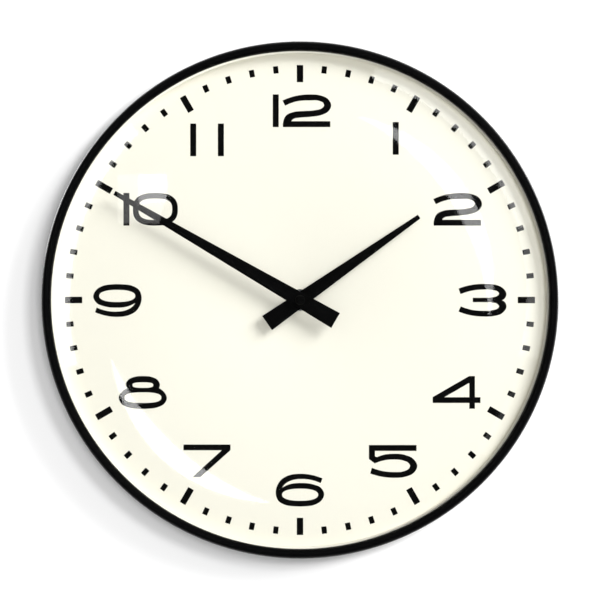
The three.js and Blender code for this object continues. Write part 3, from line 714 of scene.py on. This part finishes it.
def marks(name, size, minutes):
    """The bars round the dial at some of its minutes, as one piece."""
    bm = bmesh.new()
    for minute in minutes:
        angle = math.radians(6 * minute)
        outwards = Vector((math.sin(angle), math.cos(angle)))
        across = Vector((math.cos(angle), -math.sin(angle))) * (size["width"] / 2 + INK_GAIN)
        inner = outwards * (size["inner"] - INK_GAIN)
        outer = outwards * (size["outer"] + INK_GAIN)
        corners = [inner - across, inner + across, outer + across, outer - across]
        box_bar(bm, corners, PRINT_BACK, PRINT_FRONT)
    make_piece(name, bm, "print_black")


# ---------------------------------------------------------------- hands
def hand(name, node, size, body, hole_r):
    """A flat tapered blade, turned to the time it shows."""
    back, front = depth_range(node)
    angle = math.radians(size["angle"])
    half_end, half_tip = size["end"] / 2, size["tip"] / 2
    blade = [
        (-half_end, -size["tail"]),
        (half_end, -size["tail"]),
        (half_tip, size["reach"]),
        (-half_tip, size["reach"]),
    ]
    outline = []
    for x, z in blade:
        across = x * math.cos(angle) + z * math.sin(angle)
        up = z * math.cos(angle) - x * math.sin(angle)
        outline.append((across, up))
    bm = slab(outline, back, front, bevel=0.12, holes=[circle(hole_r, sides=48)])
    make_piece(name, bm, "hand_enamel", body, replaces=[node])


def collet(name, node, body, size):
    """A turned bush: a flange behind the hand and a sleeve through it."""
    back, front = depth_range(node)
    bore, sleeve, flange = size["bore"], size["sleeve"], size["flange"]
    profile = [
        (bore, back),
        (flange, back),
        (flange, size["flange_front"]),
        (sleeve, size["flange_front"]),
        (sleeve, front),
        (bore, front),
    ]
    bm = turned(rounded(profile, 0.15, 2), 64)
    make_piece(name, bm, "brass", body, replaces=[node])


def cap_nut():
    """The round nut in the middle, with a shallow dome and a blind hole behind."""
    back, front = depth_range("cap_nut")
    radius = outer_radius("cap_nut")
    hole_r, hole_end = 1.9, front - 1.4
    profile = [
        (0, hole_end),
        (hole_r, hole_end),
        (hole_r, back),
        (radius, back),
        (radius, front - 1.2),
        (radius - 0.6, front - 0.45),
        (radius - 1.8, front - 0.05),
        (0, front),
    ]
    bm = turned(rounded(profile, 0.3, 3, closed=False), 64)
    make_piece("cap_dome", bm, "hand_enamel", "minute", replaces=["cap_nut"])


# ---------------------------------------------------------------- fixings, rear cover and cell
SCREW_DEPTH = 31
SCREW_ANGLES = {"bezel_screw_1": 30, "bezel_screw_2": 150, "bezel_screw_3": 270}
SCREW_SEAT = 209.1
SCREW_HEAD_R = 2.4
SCREW_SHANK_R = 1.2
SCREW_TIP = 203.5
CROSS_DEPTH = 1.0
CROSS_LENGTH = 2.6
CROSS_WIDTH = 0.38
PLATE_HALF = 20
PLATE_LOW = 132
PLATE_HIGH = 160
KEYHOLE_ENTRY_R = 5
KEYHOLE_SLOT_R = 2.5
RIVET_HEAD_R = 3
RIVET_HEAD_FRONT = 0.9
RIVET_SHANK_R = 1.6
RIVET_TAIL_R = 2.4
CELL = {"depth": 27, "z": -19.05}
COVER_BACK = depth_range("rear_cover")[0]
KNOB_X = 18
RELIEF = 0.5


def turn_to_x(bm):
    """Turns a shape made about the Y axis so that its depth runs along X."""
    for vertex in bm.verts:
        vertex.co = Vector((-vertex.co.y, vertex.co.x, vertex.co.z))
    return bm


def bezel_screw(node, degrees):
    """A small domed screw through the rim's skirt, with a cross recess."""
    brim = SCREW_SEAT + 0.25
    profile = [
        (0, SCREW_TIP),
        (0.5, SCREW_TIP),
        (SCREW_SHANK_R, SCREW_TIP + 1),
        (SCREW_SHANK_R, SCREW_SEAT),
        (SCREW_HEAD_R, SCREW_SEAT),
        (SCREW_HEAD_R, brim),
    ]
    for a in (0.35, 0.75, 1.15):
        profile.append((SCREW_HEAD_R * math.cos(a), brim + (RIM_R - brim) * math.sin(a)))
    bm = turn_to_x(turned([*profile, (0, RIM_R)], 40))
    place = Matrix.Translation((0, -SCREW_DEPTH, 0)) @ Matrix.Rotation(-math.radians(degrees), 4, "Y")
    bmesh.ops.transform(bm, matrix=place, verts=bm.verts)
    piece = make_piece(node + "_domed", bm, "black_enamel", replaces=[node])
    top = place @ Matrix.Translation((RIM_R, 0, 0))
    for across, up in ((CROSS_WIDTH, CROSS_LENGTH), (CROSS_LENGTH, CROSS_WIDTH)):
        cutter = bmesh.new()
        bmesh.ops.create_cube(cutter, size=1)
        sized = Matrix.Diagonal((CROSS_DEPTH, across, up, 1))
        bmesh.ops.transform(cutter, matrix=top @ sized, verts=cutter.verts)
        cut_by(piece, cutter)


def hanger_plate():
    """The plate behind the case, with a keyhole for the wall screw and two rivet holes."""
    back, front = depth_range("hanger_plate")
    meet = math.degrees(math.acos(KEYHOLE_SLOT_R / KEYHOLE_ENTRY_R))
    slot = arc((0, HANGER_TOP_Z), KEYHOLE_SLOT_R, 0, 180, 16)
    entry = arc((0, HANGER_ENTRY_Z), KEYHOLE_ENTRY_R, 180 - meet, 360 + meet, 32)
    holes = [slot + entry, *(circle(RIVET_HOLE_R, (side * RIVET_X, RIVET_Z), 32) for side in (-1, 1))]
    outline = rounded(rectangle(-PLATE_HALF, PLATE_HALF, PLATE_LOW, PLATE_HIGH), 4, 8)
    bm = slab(outline, back, front, 0.3, holes)
    make_piece("hanger_plate_eased", bm, "zinc_steel", replaces=["hanger_plate"], sharp=15)


def hanger_rivet(node, side):
    """A rivet with a domed head at the back and a rolled tail inside the case."""
    back, front = depth_range(node)
    brim = RIVET_HEAD_FRONT - 0.15
    profile = [(0, back)]
    for a in (0.3, 0.6, 0.9, 1.2, 1.5):
        profile.append((RIVET_HEAD_R * math.sin(a), brim - (brim - back) * math.cos(a)))
    profile += [
        (RIVET_HEAD_R, RIVET_HEAD_FRONT),
        (RIVET_SHANK_R, RIVET_HEAD_FRONT),
        (RIVET_SHANK_R, front - 0.7),
        (RIVET_TAIL_R, front - 0.7),
        (RIVET_TAIL_R, front - 0.3),
        (1.9, front),
        (0, front),
    ]
    bm = turned(profile, 40, centre=(side * RIVET_X, RIVET_Z))
    make_piece(node + "_domed", bm, "zinc_steel", replaces=[node])


def plus_sign(centre, reach, half):
    """An upright cross: the same three corners turned to four sides."""
    points = []
    arm = [(reach, -half), (reach, half), (half, half)]
    for turn in range(4):
        points += [(centre[0] + x, centre[1] + z) for x, z in arm]
        arm = [(-z, x) for x, z in arm]
    return points


def arrow(bm, start, back, front):
    """A curved arrow, moulded round the knob anticlockwise from an angle."""
    knob = (KNOB_X, 0)
    end, head, tip = start + 100, start + 102, start + 120
    shaft = arc(knob, 6.8, start, end, 16) + arc(knob, 7.8, end, start, 16)
    slab(shaft, back, front, bm=bm)
    slab([on_arc(knob, 7.3, tip), on_arc(knob, 9.0, head), on_arc(knob, 6.0, head)], back, front, bm=bm)


def cover_relief():
    """What is moulded on the rear cover: a panel, plus and minus signs, two arrows round the knob."""
    back, front = COVER_BACK - RELIEF, COVER_BACK + 0.05
    bm = bmesh.new()
    field = rounded(rectangle(-22, 5, -2, 21), 1.2, 4)
    slab(rounded(rectangle(-23, 6, -3, 22), 2, 4), back, front, holes=[field], bm=bm)
    slab(rectangle(-23.4, -18.6, -8.8, -7.6), back, front, bm=bm)
    slab(plus_sign((21, -8.2), 2.3, 0.6), back, front, bm=bm)
    arrow(bm, 20, back, front)
    arrow(bm, 200, back, front)
    make_piece("rear_cover_relief", bm, "black_moulding")


# Profiles of (radius, distance from the cell's middle towards its positive end).
CAN = [
    (0, -24.7), (5.0, -24.7), (5.5, -24.4), (6.3, -24.3), (6.9, -23.9),
    (6.9, 23.4), (6.3, 24.0), (3.3, 24.1),
    (2.7, 24.4), (2.7, 25.0), (2.3, 25.4), (0, 25.4),
]
CAN_SLEEVE = [(6.3, -24.5), (6.8, -24.4), (7.1, -24.0), (7.1, 15.0), (6.9, 15.0), (6.9, -24.1)]
CAN_BAND = [(6.9, 15.1), (7.1, 15.1), (7.1, 23.5), (6.8, 23.9), (6.3, 24.1), (6.9, 23.5)]


def battery(name, profile, material):
    """One part of the cell: its can with the nub, its sleeve or the band at its positive end."""
    bm = turn_to_x(turned(profile, 96))
    bmesh.ops.translate(bm, verts=bm.verts, vec=(0, -CELL["depth"], CELL["z"]))
    make_piece(name, bm, material, "battery", replaces=["battery"])


# ---------------------------------------------------------------- what is left as it was drawn
KEPT = {
    "black_moulding": ("front_housing", "rear_cover", "chip", "setting_knob"),
    "black_rubber": ("rubber_washer",),
    "brass": ("centre_bushing", "hex_nut", "cannon_pinion"),
    "copper_wire": ("coil_winding",),
    "green_board": ("circuit_board",),
    "magnet": ("rotor_magnet",),
    "nylon": (
        "middle_plate",
        "coil_bobbin",
        "hour_wheel",
        "centre_wheel",
        "minute_wheel",
        "third_wheel",
        "seconds_wheel",
        "intermediate_wheel",
        "rotor",
        "setting_arbor",
    ),
    "zinc_steel": (
        "stator",
        "coil_core",
        "coil_screw_left",
        "coil_screw_right",
        "quartz_crystal",
        "negative_contact",
        "positive_contact",
    ),
}


def dress_cad_nodes():
    for material, nodes in KEPT.items():
        for node in nodes:
            data = frame["nodes"][node].data
            data.materials.clear()
            data.materials.append(MATERIALS[material])


# ---------------------------------------------------------------- room, lights and camera
CAMERA_DISTANCE = 8.0
RIM_SHARE = 0.862
AMBIENT = 0.4


def wall():
    mesh = bpy.data.meshes.new("wall")
    bm = bmesh.new()
    half, behind = 2.0, 0.0006
    bm.faces.new([bm.verts.new((x, behind, z)) for x, z in rectangle(-half, half, -half, half)])
    bm.to_mesh(mesh)
    bm.free()
    mesh.materials.append(MATERIALS["wall_paint"])
    made = bpy.data.objects.new("wall", mesh)
    bpy.context.scene.collection.objects.link(made)
    made.visible_shadow = False
    return made


def area_light(name, place, size, power, glossy=False):
    data = bpy.data.lights.new(name, "AREA")
    data.size = size
    data.energy = power
    made = bpy.data.objects.new(name, data)
    bpy.context.scene.collection.objects.link(made)
    made.location = place
    made.rotation_euler = (CENTRE - Vector(place)).to_track_quat("-Z", "Y").to_euler()
    made.visible_camera = False
    made.visible_glossy = glossy
    return made


def towards(off_axis, clock_angle, distance):
    """A place in front of the dial: so far off its axis, in a direction counted clockwise from the top."""
    away, turn = math.radians(off_axis), math.radians(clock_angle)
    side = distance * math.sin(away)
    return (side * math.sin(turn), -distance * math.cos(away), CENTRE.z + side * math.cos(turn))


def group(name, members, state):
    """A set of objects that a light is kept to (INCLUDE) or kept from (EXCLUDE)."""
    made = bpy.data.collections.new(name)
    for member in members:
        made.objects.link(member)
    for item in made.collection_objects:
        item.light_linking.link_state = state
    return made


RIM_SHADE_HEIGHT = 7.0
WALL_SHADE_R = RIM_R - 3.0


def shade(name, profile):
    """An unseen turned shape that only casts shadows."""
    mesh = bpy.data.meshes.new(name)
    bm = turned(profile)
    to_metres(bm)
    bm.to_mesh(mesh)
    bm.free()
    made = bpy.data.objects.new(name, mesh)
    bpy.context.scene.collection.objects.link(made)
    made.visible_camera = False
    made.visible_diffuse = False
    made.visible_glossy = False
    made.visible_transmission = False
    return made


def rim_shade():
    """A ring inside the spacer. It stands in for the rim in the side window's light."""
    inner, outer = SPACER_INNER_R + 0.1, STACK_R - 0.1
    back, front = DIAL_FRONT + 0.1, DIAL_FRONT + RIM_SHADE_HEIGHT
    return shade("rim_shade", [(inner, back), (outer, back), (outer, front), (inner, front)])


def wall_shade():
    """A drum a little slimmer than the case. It stands in for the clock in the wall's light."""
    back, front = 0.5, depth_range("bezel_ring")[1]
    return shade("wall_shade", [(0, back), (WALL_SHADE_R, back), (WALL_SHADE_R, front), (0, front)])


HAND_PIECES = ("hour_blade", "minute_blade", "hour_hub", "minute_hub", "cap_dome")


def lights(wall_piece):
    """One set of lights for the wall and one for the clock, whose shadows have different lengths."""
    hands = [bpy.data.objects[name] for name in HAND_PIECES]
    spacer = bpy.data.objects["spacer_band"]
    rim_ring, wall_drum = rim_shade(), wall_shade()
    only_wall = group("only_wall", [wall_piece], "INCLUDE")
    only_drum = group("only_drum", [wall_drum], "INCLUDE")
    only_spacer = group("only_spacer", [spacer], "INCLUDE")
    not_wall = group("not_wall", [wall_piece], "EXCLUDE")
    not_wall_or_spacer = group("not_wall_or_spacer", [wall_piece, spacer], "EXCLUDE")
    real = group("real", [rim_ring, wall_drum], "EXCLUDE")
    not_hands = group("not_hands", [*hands, rim_ring, wall_drum], "EXCLUDE")
    hands_and_ring = group("hands_and_ring", [*hands, rim_ring], "INCLUDE")

    # Each light with what it lights and what casts shadows in it.
    linked = (
        (area_light("key", towards(16.3, 58, 4), 0.55, 52), only_wall, only_drum),
        (area_light("large_window", towards(43.5, 58, 5), 1.9, 163), only_wall, only_drum),
        (area_light("front_fill", towards(0, 0, 4), 0.7, 60), only_wall, real),
        (area_light("front_window", towards(14.6, 88, 8), 1.8, 262), not_wall, not_hands),
        (area_light("side_window", towards(61.6, 53, 40), 19.3, 21300), not_wall_or_spacer, hands_and_ring),
        (area_light("spacer_side_window", towards(52, 84, 12), 6.0, 2150), only_spacer, real),
        (area_light("spacer_front_window", towards(4, 60, 8), 0.7, 40), only_spacer, real),
        (area_light("rear_left", (-1.6, 1.8, 0.7), 1.2, 45, glossy=True), None, real),
        (area_light("rear_right", (1.8, 1.6, 0.4), 1.2, 45, glossy=True), None, real),
    )
    for light, receivers, blockers in linked:
        light.light_linking.receiver_collection = receivers
        light.light_linking.blocker_collection = blockers


def world():
    """A pale room. In mirror reflections its front is dark, so that the black paint stays black."""
    made = bpy.data.worlds.new("room")
    bpy.context.scene.world = made
    made.use_nodes = True
    nodes, links = made.node_tree.nodes, made.node_tree.links
    place = nodes.new("ShaderNodeTexCoord")
    parts = nodes.new("ShaderNodeSeparateXYZ")
    behind = nodes.new("ShaderNodeMapRange")
    behind.inputs["From Min"].default_value = -0.15
    behind.inputs["From Max"].default_value = 0.25
    behind.inputs["To Min"].default_value = 0.02
    path = nodes.new("ShaderNodeLightPath")
    strength = nodes.new("ShaderNodeMix")
    strength.inputs["A"].default_value = 1.0
    total = nodes.new("ShaderNodeMath")
    total.operation = "MULTIPLY"
    total.inputs[1].default_value = AMBIENT
    links.new(place.outputs["Generated"], parts.inputs["Vector"])
    links.new(parts.outputs["Y"], behind.inputs["Value"])
    links.new(path.outputs["Is Glossy Ray"], strength.inputs["Factor"])
    links.new(behind.outputs["Result"], strength.inputs["B"])
    links.new(strength.outputs["Result"], total.inputs[0])
    background = nodes["Background"]
    background.inputs["Color"].default_value = (1, 1, 1, 1)
    links.new(total.outputs["Value"], background.inputs["Strength"])


# ---------------------------------------------------------------- what the glass mirrors
CARD_DISTANCE = 2.0


def mirrored(x, z, nearer):
    """Where the camera looks, on a plane in front of the dial, by way of the glass at (x, z) mm."""
    radius = math.hypot(x, z) * MM
    tilt = math.asin(radius / (LENS_SPHERE * MM))
    leaving = 2 * tilt + math.atan(radius / CAMERA_DISTANCE)
    surface = (LENS_APEX - LENS_SPHERE) * MM + LENS_SPHERE * MM * math.cos(tilt)
    distance = CARD_DISTANCE - nearer
    out = radius + (distance - surface) * math.tan(leaving)
    return Vector((x * MM / radius * out, -distance, CENTRE.z + z * MM / radius * out))


def card(name, outlines, level, nearer=0.0):
    """Bright cards that only a glossy surface sees. An outline is a list of (x, z) places on the glass."""
    bm = bmesh.new()
    for outline in outlines:
        bm.faces.new([bm.verts.new(mirrored(x, z, nearer)) for x, z in outline])
    mesh = bpy.data.meshes.new(name)
    bm.to_mesh(mesh)
    bm.free()
    material = bpy.data.materials.new(name)
    material.use_nodes = True
    material.cycles.emission_sampling = "NONE"
    nodes = material.node_tree.nodes
    nodes.clear()
    glow = nodes.new("ShaderNodeEmission")
    glow.inputs["Strength"].default_value = level
    out = nodes.new("ShaderNodeOutputMaterial")
    material.node_tree.links.new(glow.outputs["Emission"], out.inputs["Surface"])
    mesh.materials.append(material)
    made = bpy.data.objects.new(name, mesh)
    bpy.context.scene.collection.objects.link(made)
    made.visible_camera = False
    made.visible_diffuse = False
    made.visible_shadow = False
    made.visible_transmission = False


def polar(degrees, radius):
    angle = math.radians(degrees)
    return (radius * math.sin(angle), radius * math.cos(angle))


def crescent(start, end, first_tip, last_tip, inwards, outwards, steps=24):
    """A crescent between two clock angles, with its tips at two radii. It bulges both ways."""
    out, back = [], []
    for k in range(steps + 1):
        t = k / steps
        bulge = math.sin(math.pi * t)
        angle = start + (end - start) * t
        tip = first_tip + (last_tip - first_tip) * t
        out.append(polar(angle, tip + outwards * bulge))
        back.append(polar(angle, tip - inwards * bulge))
    return out + back[-2:0:-1]


def sector(start, end, inner_start, inner_end, outer, steps=12):
    """Part of a ring between two clock angles, whose inner radius changes from one end to the other."""
    inner_edge, outer_edge = [], []
    for k in range(steps + 1):
        t = k / steps
        angle = start + (end - start) * t
        inner_edge.append(polar(angle, inner_start + (inner_end - inner_start) * t))
        outer_edge.append(polar(angle, outer))
    return inner_edge + outer_edge[::-1]


def reflections():
    right = crescent(17, 96, 156.5, 154.3, 8.7, 7.3)
    left = crescent(188, 253, 166.5, 160.4, 7.5, 7.6)
    card("right_crescent", [right], 4.2)
    card("left_crescent", [left], 5.7)
    card("upper_window", [[(-148, 102), (-108.4, 102), (-108.4, 86), (-114.5, 62), (-148, 62)]], 1.35)
    card("upper_window_top", [[(-131, 102), (-108.4, 102), (-108.4, 80), (-131, 78)]], 5.6, nearer=0.02)
    card("left_wall", [sector(254, 276, 188.3, 186.8, 198), sector(276, 316, 186.8, 188.8, 198)], 3.8)
    card("right_wall", [sector(58, 104, 186.6, 183.2, 198.5)], 1.5)
    card("right_wall_end", [sector(104, 130, 185.5, 187.5, 198.5)], 0.5)
    card("right_wall_top", [sector(18, 72, 189.3, 187.4, 193.5)], 3.4, nearer=0.02)
    card("right_wall_edge", [sector(18, 72, 193.5, 193.5, 198.5)], 2.2, nearer=0.02)


def camera():
    """Straight in front of the dial and far off, so that the case's side stays hidden behind its rim."""
    view_width = 2 * RIM_R * MM / RIM_SHARE
    data = bpy.data.cameras.new("camera")
    data.sensor_width = 36
    data.lens = data.sensor_width * CAMERA_DISTANCE / view_width
    data.clip_end = 60
    made = bpy.data.objects.new("camera", data)
    bpy.context.scene.collection.objects.link(made)
    made.location = (0, -CAMERA_DISTANCE - depth_range("bezel_ring")[1] * MM, CENTRE.z)
    made.rotation_euler = (math.pi / 2, 0, 0)
    bpy.context.scene.camera = made


def build():
    case_body()
    bezel_ring()
    lens()
    ring_piece("gasket_ring", "lens_gasket", GASKET_INNER_R, "black_rubber", 0.3)
    ring_piece("spacer_band", "spacer_ring", SPACER_INNER_R, "white_ring", 0.4)
    ring_piece("dial_disc", "dial_plate", DIAL_HOLE_R, "dial_enamel", 0.15)
    ring_piece("washer_disc", "dial_washer", WASHER_HOLE_R, "zinc_steel", 0.15, sides=96)
    for text, (x, z, gap) in NUMERALS.items():
        numeral(text, x, z, gap)
    marks("hour_marks", HOUR_MARK, range(0, 60, 5))
    marks("minute_marks", MINUTE_MARK, [m for m in range(60) if m % 5])
    hand("hour_blade", "hour_hand", HOUR_HAND, "hour", HOUR_HOLE_R)
    hand("minute_blade", "minute_hand", MINUTE_HAND, "minute", MINUTE_HOLE_R)
    collet("hour_hub", "hour_collet", "hour", HOUR_COLLET)
    collet("minute_hub", "minute_collet", "minute", MINUTE_COLLET)
    cap_nut()
    for node, degrees in SCREW_ANGLES.items():
        bezel_screw(node, degrees)
    hanger_plate()
    hanger_rivet("hanger_rivet_left", -1)
    hanger_rivet("hanger_rivet_right", 1)
    cover_relief()
    battery("battery_can", CAN, "zinc_steel")
    battery("battery_sleeve", CAN_SLEEVE, "cell_sleeve")
    battery("battery_band", CAN_BAND, "sleeve_band")
    dress_cad_nodes()


build()
lights(wall())
world()
reflections()
camera()
bpy.context.scene.view_settings.view_transform = "Standard"
